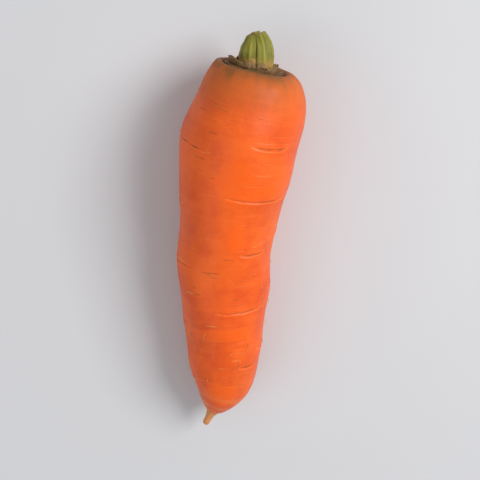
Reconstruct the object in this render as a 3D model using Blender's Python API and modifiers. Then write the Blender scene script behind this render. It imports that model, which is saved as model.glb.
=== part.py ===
# A short, stump-rooted carrot, topped and lying on its side.
# The crown points along +Y, the tip along -Y, and the side that faces up is along +Z.
# The origin is on the flat resting spot, under the carrot's weight. Lengths are in metres.

import math

import bmesh
import bpy
from mathutils import Matrix, Vector

# Taproot, measured along its own middle line from the top of the shoulder
BODY_LENGTH = 0.142
TAIL_LENGTH = 0.006
SHOULDER_RADIUS = 0.0230
SEAT_DEPTH = 0.0017
SEAT_RADIUS = 0.0107

# How the middle line runs: it leans over at the crown and hooks a little at the tip
CROWN_LEAN = 0.0118
LEAN_END = 0.082
LEAN_POWER = 1.5
TIP_HOOK = 0.0052
HOOK_START = 0.119
AXIS_TILT = math.radians(5.2)
AXIS_HEIGHT = 0.0250
WEIGHT_DISTANCE = 0.0565

# The shoulder slopes on the left, so the crown is lopsided. Places are walked along the skin
SHOULDER_DROP = 0.172
DROP_FACING = math.radians(-80)
DROP_START = 0.012
DROP_RISE = 0.010
DROP_END = 0.050
DROP_FALL = 0.027

# Surface of the taproot. The relief starts past the shoulder's rim and ends before the thin tail
TAPROOT_SIDES = 48
STATION_STEP = 0.0040
SHOULDER_KNOTS = 11
TAIL_KNOTS = 5
SQUASH = 0.016
SWELLS = (  # height, turns round the root, waves along it for each metre, start angle
    (0.00034, 2, 105.0, 0.6),
    (0.00026, 3, -160.0, 2.1),
    (0.00020, 1, 260.0, 4.0),
)
RING_SLANT = 0.0011
RING_TWIST = 30.0
RELIEF_START = 0.014
RELIEF_RISE = 0.010
RELIEF_END = 0.009
RELIEF_FALL = 0.014

# Creases where side roots grew, in four uneven rows down the root
CREASE_COUNT = 20
CREASE_START = 0.0410
CREASE_END = 0.1600
CREASE_CROWDING = 1.1
CREASE_ROWS = (0.55, 1.75, 3.60, 4.95)
CREASE_ROW_STEP = 3
CREASE_SWAY = 0.24
CREASE_DEPTH = (0.00038, 0.00078)
CREASE_SPREAD = (0.26, 0.80)
CREASE_FULL = 0.45
CREASE_FADE = 0.75
CREASE_WIDTH = 0.0008
LIP_SHARE = 0.40
LIP_WIDTH = 2.6

# Even but unordered steps, for sizes that differ from one piece to the next
GOLDEN = 0.618034
PLASTIC = 0.754878
GOLDEN_ANGLE = math.radians(137.5)

# Dry bases of the leaves that have gone, round the green tuft
GAP = 0.0003
PLATE_RADIUS = 0.0101
PLATE_THICKNESS = 0.0013
PLATE_SIDES = 32
SCALE_COUNT = 11
SCALE_SIDES = 8
SCALE_RING = 0.0092
SCALE_HEIGHT = (0.0010, 0.0034)
SCALE_LEAN = (0.0008, 0.0020)
SCALE_SPREAD = (0.30, 0.44)
SCALE_SCATTER = 0.35
SCALE_HALF_THICKNESS = 0.00045
SCALE_ROOT = 0.0005
SCALE_LEVELS = (  # share of the height, of the lean, of the spread and of the thickness
    (0.00, 0.0, 1.00, 1.25),
    (0.40, 0.2, 1.00, 1.00),
    (0.72, 0.6, 0.80, 0.85),
    (1.00, 1.0, 0.38, 0.75),
)

# Green tuft: the cut stalks of the leaves, in a spiral that tightens inwards round a low heart.
# It narrows upwards like a bud, and leans back from the crown's own lean
STALK_COUNT = 9
STALK_SIDES = 14
STALK_RING = 0.0061
STALK_STEP = 0.00062
STALK_FIRST_ANGLE = math.radians(52)
STALK_SPREAD = 0.80
STALK_SPREAD_STEP = 0.035
STALK_HALF_THICKNESS = 0.00128
STALK_THINNING = 0.045
STALK_LEVELS = (  # share of the height, of the reach, of the bend, of the spread and of the thickness
    (0.00, 0.96, 1.00, 1.00, 1.00),
    (0.20, 1.05, 1.02, 1.00, 1.04),
    (0.42, 1.04, 1.00, 1.00, 1.04),
    (0.63, 0.93, 0.92, 0.97, 1.00),
    (0.83, 0.75, 0.78, 0.93, 0.92),
    (1.00, 0.54, 0.62, 0.88, 0.80),
)
STALK_ROOT = 0.0003
CUT_HEIGHT = 0.0152
CUT_SLOPE = 0.46
CUT_OUTER = 0.92
CUT_UNEVEN = 0.08
TUFT_LEAN = 0.20
HEART_RADIUS = 0.0065
HEART_HEIGHT = 0.0128
HEART_SIDES = 24

# Outline of the taproot from the middle of the crown's seat to the tip:
# distance below the top of the shoulder, and radius
OUTLINE = (
    (SEAT_DEPTH, 0.0),
    (SEAT_DEPTH, 0.50 * SEAT_RADIUS),
    (SEAT_DEPTH, SEAT_RADIUS),
    (0.0012, 0.0118),
    (0.0002, 0.0132),
    (0.0001, 0.0150),
    (0.0012, 0.0174),
    (0.0039, 0.0201),
    (0.0084, 0.0220),
    (0.0157, 0.0228),
    (0.0245, SHOULDER_RADIUS),
    (0.0365, 0.0226),
    (0.0510, 0.0209),
    (0.0660, 0.0190),
    (0.0860, 0.0180),
    (0.1020, 0.0167),
    (0.1165, 0.0150),
    (0.1275, 0.0123),
    (0.1350, 0.0087),
    (0.1398, 0.0050),
    (BODY_LENGTH, 0.0026),
    (BODY_LENGTH + 0.40 * TAIL_LENGTH, 0.0016),
    (BODY_LENGTH + 0.92 * TAIL_LENGTH, 0.0012),
    (BODY_LENGTH + TAIL_LENGTH, 0.0),
)

# Colour and roughness of each material
ORANGE_SKIN = ((0.78, 0.16, 0.022), 0.42)
DRY_LEAF = ((0.20, 0.13, 0.045), 0.80)
LEAF_GREEN = ((0.34, 0.42, 0.06), 0.50)


def clear_scene():
    for obj in list(bpy.data.objects):
        bpy.data.objects.remove(obj)


def new_material(name, look):
    colour, roughness = look
    material = bpy.data.materials.new(name)
    material.use_nodes = True
    shader = material.node_tree.nodes["Principled BSDF"]
    shader.inputs["Base Color"].default_value = (*colour, 1.0)
    shader.inputs["Roughness"].default_value = roughness
    shader.inputs["Metallic"].default_value = 0.0
    material.diffuse_color = (*colour, 1.0)
    return material


def new_object(name, mesh, collection):
    mesh.shade_smooth()
    mesh.set_sharp_from_angle(angle=math.radians(50))
    obj = bpy.data.objects.new(name, mesh)
    collection.objects.link(obj)
    return obj


def mesh_of(name, bm):
    mesh = bpy.data.meshes.new(name)
    bm.to_mesh(mesh)
    bm.free()
    return mesh


def fraction(number):
    return number - math.floor(number)


def between(limits, share):
    return limits[0] + (limits[1] - limits[0]) * share


def smooth(share):
    share = min(1.0, max(0.0, share))
    return share * share * (3 - 2 * share)


# The outline as one smooth curve over the distance walked along the skin
def skin_distances():
    walked = [0.0]
    for (a0, r0), (a1, r1) in zip(OUTLINE, OUTLINE[1:]):
        walked.append(walked[-1] + math.hypot(a1 - a0, r1 - r0))
    return walked


SKIN = skin_distances()
SKIN_LENGTH = SKIN[-1]


def outline_at(walked):
    """Distance below the shoulder, and radius, after walking this far from the crown's middle."""
    last = len(SKIN) - 2
    i = min(last, max(0, sum(knot <= walked for knot in SKIN) - 1))
    span = SKIN[i + 1] - SKIN[i]
    share = min(1.0, max(0.0, (walked - SKIN[i]) / span))
    found = []
    for axis in (0, 1):
        start, end = OUTLINE[i][axis], OUTLINE[i + 1][axis]
        slopes = []
        for k in (i, i + 1):
            low, high = max(0, k - 1), min(last + 1, k + 1)
            slopes.append((OUTLINE[high][axis] - OUTLINE[low][axis]) / (SKIN[high] - SKIN[low]))
        s2, s3 = share * share, share ** 3
        found.append(
            (2 * s3 - 3 * s2 + 1) * start
            + (s3 - 2 * s2 + share) * span * slopes[0]
            + (3 * s2 - 2 * s3) * end
            + (s3 - s2) * span * slopes[1]
        )
    return found[0], max(0.0, found[1])


def middle_line(distance):
    """A point of the root's middle line, this far below the top of the shoulder."""
    lean = CROWN_LEAN * max(0.0, 1 - distance / LEAN_END) ** LEAN_POWER
    rest = CROWN_LEAN * (1 - WEIGHT_DISTANCE / LEAN_END) ** LEAN_POWER
    hook = TIP_HOOK * max(0.0, (distance - HOOK_START) / (BODY_LENGTH - HOOK_START)) ** 2
    height = AXIS_HEIGHT - distance * math.tan(AXIS_TILT)
    return Vector((lean - rest - hook, WEIGHT_DISTANCE - distance, height))


def section_frame(distance):
    """The place and turn of the root's section there: local Z runs to the crown, local X faces up."""
    step = 0.0005
    to_crown = (middle_line(distance - step) - middle_line(distance + step)).normalized()
    facing = Vector((0, 0, 1))
    facing = (facing - facing.dot(to_crown) * to_crown).normalized()
    side = to_crown.cross(facing)
    turn = Matrix((facing, side, to_crown)).transposed().to_4x4()
    return Matrix.Translation(middle_line(distance)) @ turn


def crease(number):
    """Where crease number lies: skin distance, angle, half its spread and its depth."""
    share = (number + 0.5) / CREASE_COUNT
    along = CREASE_START + (CREASE_END - CREASE_START) * share ** CREASE_CROWDING
    row = CREASE_ROWS[(number * CREASE_ROW_STEP) % len(CREASE_ROWS)]
    angle = row + CREASE_SWAY * math.sin(number * GOLDEN_ANGLE)
    spread = between(CREASE_SPREAD, fraction(number * GOLDEN + 0.2))
    depth = between(CREASE_DEPTH, fraction(number * PLASTIC + 0.5))
    return along, angle, spread, depth


CREASES = [crease(number) for number in range(CREASE_COUNT)]


def crease_relief(along, angle):
    """A narrow slot with a low lip on both sides, for every crease near this place."""
    relief = 0.0
    for middle, facing, spread, depth in CREASES:
        off = abs(math.remainder(angle - facing, 2 * math.pi))
        share = 1 - smooth((off - CREASE_FULL * spread) / (CREASE_FADE * spread))
        slot = math.exp(-(((along - middle) / CREASE_WIDTH) ** 2))
        lip = math.exp(-(((along - middle) / (LIP_WIDTH * CREASE_WIDTH)) ** 2))
        relief += depth * share * (LIP_SHARE * lip - slot)
    return relief


def relief_share(walked):
    """1 on the carrot's body, and 0 in the crown's seat and on the thin tail."""
    rise = smooth((walked - RELIEF_START) / RELIEF_RISE)
    return rise * smooth((SKIN_LENGTH - RELIEF_END - walked) / RELIEF_FALL)


def shoulder_drop(walked, angle):
    """The share by which the radius shrinks where the shoulder slopes."""
    rise = smooth((walked - DROP_START) / DROP_RISE)
    around = (0.5 + 0.5 * math.cos(angle - DROP_FACING)) ** 2
    return SHOULDER_DROP * rise * smooth((DROP_END - walked) / DROP_FALL) * around


def skin_point(along, angle):
    share = relief_share(along)
    walked = along + share * RING_SLANT * math.sin(angle + RING_TWIST * along)
    distance, radius = outline_at(walked)
    swell = sum(
        height * math.sin(turns * angle + waves * along + start)
        for height, turns, waves, start in SWELLS
    )
    radius *= (1 + share * SQUASH * math.cos(2 * angle)) * (1 - shoulder_drop(walked, angle))
    radius += share * (swell + crease_relief(along, angle))
    place = section_frame(distance) @ Vector((radius * math.cos(angle), radius * math.sin(angle), 0))
    place.z = max(0.0, place.z)
    return place


def taproot_stations():
    """Skin distances of the rings: the outline's own at both ends, three at each crease, and even ones."""
    wanted = SKIN[1 : 1 + SHOULDER_KNOTS] + SKIN[-1 - TAIL_KNOTS : -1]
    for middle, _, _, _ in CREASES:
        wanted += [middle - 1.5 * CREASE_WIDTH, middle, middle + 1.5 * CREASE_WIDTH]
    even = int(SKIN_LENGTH / STATION_STEP)
    for i in range(1, even):
        place = SKIN_LENGTH * i / even
        if min(abs(place - other) for other in wanted) > 0.45 * STATION_STEP:
            wanted.append(place)
    return [0.0] + sorted(wanted) + [SKIN_LENGTH]


def build_taproot(collection):
    """A sphere whose rings are moved out to the stations along the skin."""
    stations = taproot_stations()
    rings = len(stations) - 1
    bm = bmesh.new()
    bmesh.ops.create_uvsphere(bm, u_segments=TAPROOT_SIDES, v_segments=rings, radius=1.0)
    for vert in bm.verts:
        ring = round(math.acos(max(-1.0, min(1.0, vert.co.z))) / math.pi * rings)
        angle = math.atan2(vert.co.y, vert.co.x)
        vert.co = skin_point(stations[ring], angle)
    mesh = mesh_of("taproot", bm)
    mesh.materials.append(new_material("orange_skin", ORANGE_SKIN))
    return new_object("taproot", mesh, collection)


# A leaf stalk or dry scale: an oval section bent round the tuft's middle, lofted upwards.
# levels holds (height share, reach of the section's middle, bend radius, half spread, half thickness)
def build_sheath(name, levels, bottom, top_height, sides, collection):
    bm = bmesh.new()
    rings = []
    for share, reach, bend, spread, thickness in levels:
        ring = []
        for i in range(sides):
            turn = 2 * math.pi * i / sides
            out = bend + thickness * math.sin(turn)
            round_angle = spread * math.cos(turn)
            x = reach - bend + out * math.cos(round_angle)
            y = out * math.sin(round_angle)
            ring.append(bm.verts.new((x, y, bottom + share * (top_height(x, y) - bottom))))
        rings.append(ring)
    for low, high in zip(rings, rings[1:]):
        for i in range(sides):
            k = (i + 1) % sides
            bm.faces.new((low[i], low[k], high[k], high[i]))
    bm.faces.new(list(reversed(rings[0])))
    bm.faces.new(rings[-1])
    bmesh.ops.triangulate(bm, faces=[f for f in bm.faces if len(f.verts) > 4])
    bmesh.ops.recalc_face_normals(bm, faces=bm.faces)
    return new_object(name, mesh_of(name, bm), collection)


def turned(name, outline, sides, collection):
    """A turned solid from an outline of (radius, height) that runs from top to bottom."""
    mesh = bpy.data.meshes.new(name)
    points = [(radius, 0.0, height) for radius, height in outline]
    mesh.from_pydata(points, [(i, i + 1) for i in range(len(points) - 1)], [])
    obj = bpy.data.objects.new(name, mesh)
    collection.objects.link(obj)
    screw = obj.modifiers.new("turn", "SCREW")
    screw.steps = screw.render_steps = sides
    screw.use_merge_vertices = True
    screw.merge_threshold = 0.00001
    return obj


def fused(name, core, extras, collection, material):
    """The core with every piece of the extras collection joined to it, as one plain mesh."""
    union = core.modifiers.new("fuse", "BOOLEAN")
    union.operand_type = "COLLECTION"
    union.collection = extras
    union.operation = "UNION"
    union.solver = "EXACT"
    bpy.context.view_layer.update()
    graph = bpy.context.evaluated_depsgraph_get()
    mesh = bpy.data.meshes.new_from_object(core.evaluated_get(graph))
    mesh.name = name
    mesh.materials.clear()
    mesh.materials.append(material)
    for obj in [core, *extras.objects]:
        bpy.data.objects.remove(obj)
    bpy.data.collections.remove(extras)
    return new_object(name, mesh, collection)


def new_collection(name):
    collection = bpy.data.collections.new(name)
    bpy.context.scene.collection.children.link(collection)
    return collection


def build_dry_bases(collection):
    low = GAP
    high = GAP + PLATE_THICKNESS
    plate_outline = (
        (0.0, high),
        (0.82 * PLATE_RADIUS, high),
        (PLATE_RADIUS, high - 0.5 * PLATE_THICKNESS),
        (0.96 * PLATE_RADIUS, low),
        (0.0, low),
    )
    plate = turned("plate", plate_outline, PLATE_SIDES, collection)
    scales = new_collection("scales")
    for number in range(SCALE_COUNT):
        height = high + between(SCALE_HEIGHT, fraction(number * GOLDEN + 0.35))
        lean = between(SCALE_LEAN, fraction(number * PLASTIC))
        spread = between(SCALE_SPREAD, fraction(number * PLASTIC + 0.4))
        levels = [
            (rise, SCALE_RING + out * lean, SCALE_RING, wide * spread, thick * SCALE_HALF_THICKNESS)
            for rise, out, wide, thick in SCALE_LEVELS
        ]
        bottom = low + SCALE_ROOT
        scale = build_sheath(f"scale_{number}", levels, bottom, lambda x, y, h=height: h, SCALE_SIDES, scales)
        scattered = number + SCALE_SCATTER * math.sin(number * GOLDEN_ANGLE)
        scale.rotation_euler.z = 2 * math.pi * scattered / SCALE_COUNT
    return fused("dry_leaf_bases", plate, scales, collection, new_material("dry_leaf", DRY_LEAF))


def build_leaf_stalks(collection):
    low = 2 * GAP + PLATE_THICKNESS
    heart_outline = (
        (0.0, low + HEART_HEIGHT),
        (0.42 * HEART_RADIUS, low + 0.98 * HEART_HEIGHT),
        (0.62 * HEART_RADIUS, low + 0.90 * HEART_HEIGHT),
        (0.84 * HEART_RADIUS, low + 0.64 * HEART_HEIGHT),
        (HEART_RADIUS, low + 0.30 * HEART_HEIGHT),
        (0.97 * HEART_RADIUS, low),
        (0.0, low),
    )
    heart = turned("heart", heart_outline, HEART_SIDES, collection)
    stalks = new_collection("stalks")
    for number in range(STALK_COUNT):
        ring = STALK_RING - STALK_STEP * number
        angle = STALK_FIRST_ANGLE + GOLDEN_ANGLE * number
        spread = STALK_SPREAD + STALK_SPREAD_STEP * number
        thickness = STALK_HALF_THICKNESS * (1 - STALK_THINNING * number)
        inward = number / (STALK_COUNT - 1)
        shorter = between((CUT_OUTER, 1.0), inward) - CUT_UNEVEN * fraction(number * GOLDEN)

        def cut(x, y, angle=angle, shorter=shorter):
            across = x * math.sin(angle) + y * math.cos(angle)
            return shorter * (CUT_HEIGHT + CUT_SLOPE * across)

        levels = [
            (rise, reach * ring, bend * ring, wide * spread, thick * thickness)
            for rise, reach, bend, wide, thick in STALK_LEVELS
        ]
        stalk = build_sheath(f"stalk_{number}", levels, low + STALK_ROOT, cut, STALK_SIDES, stalks)
        stalk.rotation_euler.z = angle
    tuft = fused("leaf_stalks", heart, stalks, collection, new_material("leaf_green", LEAF_GREEN))
    lean = Matrix.Identity(4)
    lean[1][2] = -TUFT_LEAN
    lean[1][3] = TUFT_LEAN * low
    tuft.data.transform(lean)
    return tuft


def main():
    clear_scene()
    carrot = new_collection("carrot")
    build_taproot(carrot)
    crown = bpy.data.objects.new("crown_seat", None)
    crown.matrix_world = section_frame(SEAT_DEPTH)
    carrot.objects.link(crown)
    for piece in (build_dry_bases(carrot), build_leaf_stalks(carrot)):
        piece.parent = crown


main()
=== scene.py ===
import math

import bpy
from mathutils import Matrix, Vector


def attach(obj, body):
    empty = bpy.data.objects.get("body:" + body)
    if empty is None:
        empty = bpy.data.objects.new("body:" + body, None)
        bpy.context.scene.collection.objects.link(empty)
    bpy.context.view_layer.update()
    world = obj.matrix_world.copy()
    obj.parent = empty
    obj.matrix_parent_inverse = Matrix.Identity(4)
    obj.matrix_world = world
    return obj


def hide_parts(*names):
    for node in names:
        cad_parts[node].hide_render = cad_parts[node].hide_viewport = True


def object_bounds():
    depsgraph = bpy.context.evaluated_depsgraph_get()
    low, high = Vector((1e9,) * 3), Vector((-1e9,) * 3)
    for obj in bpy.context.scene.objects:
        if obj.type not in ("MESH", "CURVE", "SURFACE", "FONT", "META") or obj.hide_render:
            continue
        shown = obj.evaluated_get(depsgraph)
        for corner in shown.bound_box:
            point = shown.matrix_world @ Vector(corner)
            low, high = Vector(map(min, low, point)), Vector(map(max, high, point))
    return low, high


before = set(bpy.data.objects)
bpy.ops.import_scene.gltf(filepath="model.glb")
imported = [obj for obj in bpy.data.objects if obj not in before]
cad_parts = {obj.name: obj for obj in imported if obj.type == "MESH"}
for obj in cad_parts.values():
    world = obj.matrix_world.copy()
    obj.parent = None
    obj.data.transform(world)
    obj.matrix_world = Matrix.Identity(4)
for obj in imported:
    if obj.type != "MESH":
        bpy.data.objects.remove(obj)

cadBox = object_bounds()
fullTurn = 2 * math.pi
goldenAngle = math.radians(137.5)
golden = 0.618034
plastic = 0.754878
mergeDistance = 0.000004


# Node trees are written as sums: a Wire is a node's output, and + - * / ** on it add Math nodes

class Wire:
    def __init__(self, tree, socket):
        self.tree = tree
        self.socket = socket

    def math(self, operation, *others):
        node = newNode(self.tree, "ShaderNodeMath", operation=operation)
        for socket, value in zip(node.inputs, (self, *others)):
            plug(self.tree, value, socket)
        return Wire(self.tree, node.outputs[0])

    def __add__(self, other):
        return self.math("ADD", other)

    def __mul__(self, other):
        return self.math("MULTIPLY", other)

    def __sub__(self, other):
        return self.math("SUBTRACT", other)

    def __truediv__(self, other):
        return self.math("DIVIDE", other)

    def __pow__(self, other):
        return self.math("POWER", other)

    def __rsub__(self, other):
        return self.math("MULTIPLY_ADD", -1.0, other)

    def __rtruediv__(self, other):
        return self.math("POWER", -1.0) * other

    __radd__ = __add__
    __rmul__ = __mul__


def newNode(tree, kind, **settings):
    node = tree.nodes.new(kind)
    count = len(tree.nodes)
    node.location = (count % 16 * 200, -(count // 16) * 280)
    for setting, value in settings.items():
        setattr(node, setting, value)
    return node


def plug(tree, value, socket):
    if isinstance(value, Wire):
        tree.links.new(value.socket, socket)
    else:
        socket.default_value = value


def inputOf(node, name):  # of several with one name, one is in use
    return next(socket for socket in node.inputs if socket.enabled and socket.name == name)


def outputOf(node):
    return next(socket for socket in node.outputs if socket.enabled)


def addNode(tree, kind, values, output=None, **settings):  # values: socket name to wire or number
    node = newNode(tree, kind, **settings)
    for name, value in values.items():
        plug(tree, value, inputOf(node, name))
    return Wire(tree, node.outputs[output] if output else outputOf(node))


# These take numbers or wires, so one formula serves Python and the node trees

def atLeast(value, low):
    return value.math("MAXIMUM", low) if isinstance(value, Wire) else max(value, low)


def squareRoot(value):
    return value.math("SQRT") if isinstance(value, Wire) else math.sqrt(value)


def between(limits, share):
    return limits[0] + (limits[1] - limits[0]) * share


# Small helpers for wires only

def sine(wire):
    return wire.math("SINE")


def cosine(wire):
    return wire.math("COSINE")


def fraction(wire):
    return wire.math("FRACT")


def ramp(value, start, end, low=0.0, high=1.0, smooth=True):  # low before start, high after end
    values = {"Value": value, "From Min": start, "From Max": end, "To Min": low, "To Max": high}
    kind = "SMOOTHSTEP" if smooth else "LINEAR"
    return addNode(value.tree, "ShaderNodeMapRange", values, interpolation_type=kind)


def vector(tree, x, y, z):
    return addNode(tree, "ShaderNodeCombineXYZ", {"X": x, "Y": y, "Z": z})


def parts(wire):
    node = newNode(wire.tree, "ShaderNodeSeparateXYZ")
    plug(wire.tree, wire, node.inputs[0])
    return [Wire(wire.tree, socket) for socket in node.outputs]


def stretched(wire, x, y, z):  # a vector scaled along each axis
    node = newNode(wire.tree, "ShaderNodeVectorMath", operation="MULTIPLY")
    plug(wire.tree, wire, node.inputs[0])
    node.inputs[1].default_value = (x, y, z)
    return Wire(wire.tree, node.outputs[0])


def noise(place, scale=1.0, detail=2.0, roughness=0.5):
    values = {"Vector": place, "Scale": scale, "Detail": detail, "Roughness": roughness}
    return addNode(place.tree, "ShaderNodeTexNoise", values)


def blendColour(factor, low, high):
    node = newNode(factor.tree, "ShaderNodeMix", data_type="RGBA")
    plug(factor.tree, factor, node.inputs["Factor"])
    for name, colour in (("A", low), ("B", high)):
        plug(factor.tree, colour if isinstance(colour, Wire) else (*colour, 1.0), inputOf(node, name))
    return Wire(factor.tree, outputOf(node))


# Geometry Nodes trees

def newTree(name, inputs, outputs=(("Geometry", "NodeSocketGeometry"),)):
    tree = bpy.data.node_groups.new(name, "GeometryNodeTree")
    for label, value in inputs.items():
        kinds = {int: "NodeSocketInt", float: "NodeSocketFloat", str: value}
        socket = tree.interface.new_socket(name=label, in_out="INPUT", socket_type=kinds[type(value)])
        if not isinstance(value, str):
            socket.default_value = value
    for label, kind in outputs:
        tree.interface.new_socket(name=label, in_out="OUTPUT", socket_type=kind)
    entry = newNode(tree, "NodeGroupInput")
    return tree, {label: Wire(tree, entry.outputs[label]) for label in inputs}


def endTree(tree, *results):
    leave = newNode(tree, "NodeGroupOutput")
    for value, socket in zip(results, leave.inputs):
        plug(tree, value, socket)


def useGroup(tree, group, values):
    node = newNode(tree, "GeometryNodeGroup" if tree.bl_idname == "GeometryNodeTree" else "ShaderNodeGroup")
    node.node_tree = group
    for name, value in values.items():
        plug(tree, value, node.inputs[name])
    return [Wire(tree, socket) for socket in node.outputs]


def keep(geometry, name, value, kind="FLOAT", domain="POINT"):
    values = {"Geometry": geometry, "Name": name, "Value": value}
    return addNode(geometry.tree, "GeometryNodeStoreNamedAttribute", values, data_type=kind, domain=domain)


def keepAll(geometry, values):
    for name, value in values.items():
        geometry = keep(geometry, name, value)
    return geometry


def kept(tree, name, kind="FLOAT"):
    return addNode(tree, "GeometryNodeInputNamedAttribute", {"Name": name}, data_type=kind)


def moveTo(geometry, place):
    return addNode(geometry.tree, "GeometryNodeSetPosition", {"Geometry": geometry, "Position": place})


def gridOf(tree, across, along):  # a sheet of quads, and its two shares from 0 to 1
    node = newNode(tree, "GeometryNodeMeshGrid")
    plug(tree, across, node.inputs["Vertices X"])
    plug(tree, along, node.inputs["Vertices Y"])
    u, v, _ = parts(Wire(tree, node.outputs["UV Map"]))
    return Wire(tree, node.outputs["Mesh"]), u, v


def finishTree(tree, geometry, material):  # closes seams and poles, and sets the material
    values = {"Geometry": geometry, "Distance": mergeDistance}
    joined = addNode(tree, "GeometryNodeMergeByDistance", values)
    real = addNode(tree, "GeometryNodeRealizeInstances", {"Geometry": joined})
    node = newNode(tree, "GeometryNodeSetMaterial")
    node.inputs["Material"].default_value = material
    plug(tree, real, node.inputs["Geometry"])
    endTree(tree, Wire(tree, node.outputs["Geometry"]))


def newObject(name, data):
    item = bpy.data.objects.new(name, data)
    bpy.context.scene.collection.objects.link(item)
    return item


def growPiece(name, tree, settings, place=None):
    start = newObject(name + "Start", bpy.data.meshes.new(name + "Start"))
    grower = start.modifiers.new("grow", "NODES")
    grower.node_group = tree
    for item in tree.interface.items_tree:
        if item.in_out == "INPUT":
            grower[item.identifier] = settings[item.name]
    bpy.context.view_layer.update()
    graph = bpy.context.evaluated_depsgraph_get()
    mesh = bpy.data.meshes.new_from_object(start.evaluated_get(graph))
    bpy.data.objects.remove(start)
    mesh.name = name
    if place:
        mesh.transform(place)
    mesh.shade_smooth()
    print(name, len(mesh.polygons), "faces")
    return newObject(name, mesh)


# Taproot: where its middle line and its skin run

rootShape = {
    "bodyLength": 0.142,
    "tailLength": 0.006,
    "shoulderRadius": 0.0230,
    "seatDepth": 0.0017,
    "seatRadius": 0.0107,
    "crownLean": 0.0118,
    "leanEnd": 0.082,
    "leanPower": 1.5,
    "tipHook": 0.0052,
    "hookStart": 0.119,
    "axisTilt": math.radians(5.2),
    "axisHeight": 0.0250,
    "weightDistance": 0.0565,
    "shoulderDrop": 0.172,
    "dropFacing": math.radians(-80),
    "dropStart": 0.012,
    "dropRise": 0.010,
    "dropEnd": 0.050,
    "dropFall": 0.027,
    "squash": 0.016,
    "swells": ((0.00034, 2, 105.0, 0.6), (0.00026, 3, -160.0, 2.1), (0.00020, 1, 260.0, 4.0)),
    "ringSlant": 0.0011,
    "ringTwist": 30.0,
    "reliefStart": 0.014,
    "reliefRise": 0.010,
    "reliefEnd": 0.009,
    "reliefFall": 0.014,
}


def rootOutline():  # distance below the shoulder, and radius, from the crown's middle to the tip
    s = rootShape
    length, tail = s["bodyLength"], s["tailLength"]
    return (
        (s["seatDepth"], 0.0), (s["seatDepth"], 0.50 * s["seatRadius"]), (s["seatDepth"], s["seatRadius"]),
        (0.0012, 0.0118), (0.0002, 0.0132), (0.0001, 0.0150), (0.0012, 0.0174), (0.0039, 0.0201),
        (0.0084, 0.0220), (0.0157, 0.0228), (0.0245, s["shoulderRadius"]), (0.0365, 0.0226),
        (0.0510, 0.0209), (0.0660, 0.0190), (0.0860, 0.0180), (0.1020, 0.0167), (0.1165, 0.0150),
        (0.1275, 0.0123), (0.1350, 0.0087), (0.1398, 0.0050), (length, 0.0026),
        (length + 0.40 * tail, 0.0016), (length + 0.92 * tail, 0.0012), (length + tail, 0.0),
    )


def walkedDistances(outline):
    walked = [0.0]
    for (a0, r0), (a1, r1) in zip(outline, outline[1:]):
        walked.append(walked[-1] + math.hypot(a1 - a0, r1 - r0))
    return walked


skinLength = walkedDistances(rootOutline())[-1]


def outlineCurve():  # a Bezier curve through the outline: X is the radius, Y the distance
    outline = rootOutline()
    walked = walkedDistances(outline)
    data = bpy.data.curves.new("rootOutline", "CURVE")
    data.dimensions = "3D"
    data.resolution_u = 20
    spline = data.splines.new("BEZIER")
    last = len(outline) - 1
    spline.bezier_points.add(last)
    for i, point in enumerate(spline.bezier_points):
        low, high = max(0, i - 1), min(last, i + 1)
        span = walked[high] - walked[low]
        slope = Vector((outline[high][1] - outline[low][1], outline[high][0] - outline[low][0], 0)) / span
        point.handle_left_type = point.handle_right_type = "FREE"
        point.co = (outline[i][1], outline[i][0], 0)
        point.handle_left = point.co - slope * (walked[i] - walked[low]) / 3
        point.handle_right = point.co + slope * (walked[high] - walked[i]) / 3
    return newObject("rootOutline", data)


def middleLine(distance):
    s = rootShape
    lean = s["crownLean"] * atLeast(1 - distance / s["leanEnd"], 0.0) ** s["leanPower"]
    rest = s["crownLean"] * (1 - s["weightDistance"] / s["leanEnd"]) ** s["leanPower"]
    hooked = atLeast((distance - s["hookStart"]) / (s["bodyLength"] - s["hookStart"]), 0.0)
    height = s["axisHeight"] - distance * math.tan(s["axisTilt"])
    return lean - rest - s["tipHook"] * hooked * hooked, s["weightDistance"] - distance, height


def besideLine(distance, up, side):  # a point beside the middle line, square to it
    step = 0.0005
    above, below = middleLine(distance - step), middleLine(distance + step)
    dx, dy, dz = [a - b for a, b in zip(above, below)]
    length = squareRoot(dx * dx + dy * dy + dz * dz)
    tx, ty, tz = dx / length, dy / length, dz / length
    flat = squareRoot(1 - tz * tz)
    x, y, z = middleLine(distance)
    x = x + (ty * side - tz * tx * up) / flat
    y = y - (tx * side + tz * ty * up) / flat
    return x, y, z + flat * up


def leanBack(low):  # leans the tuft to the left of the crown's own direction, its base kept in place
    lean = Matrix.Identity(4)
    lean[1][2] = -tuftLean
    lean[1][3] = tuftLean * low
    return lean


def crownPlace():  # where the crown's seat is: local Z runs out along the leaf stalks, X faces up
    depth = rootShape["seatDepth"]
    origin = Vector(besideLine(depth, 0.0, 0.0))
    facing = Vector(besideLine(depth, 1.0, 0.0)) - origin
    side = Vector(besideLine(depth, 0.0, 1.0)) - origin
    turn = Matrix((facing, side, facing.cross(side))).transposed().to_4x4()
    return Matrix.Translation(origin) @ turn


def reliefShare(walked):  # 1 on the body, 0 in the crown's seat and on the thin tail
    s = rootShape
    rise = ramp(walked, s["reliefStart"], s["reliefStart"] + s["reliefRise"])
    start = skinLength - s["reliefEnd"] - s["reliefFall"]
    return rise * ramp(walked, start, start + s["reliefFall"], 1.0, 0.0)


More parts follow.
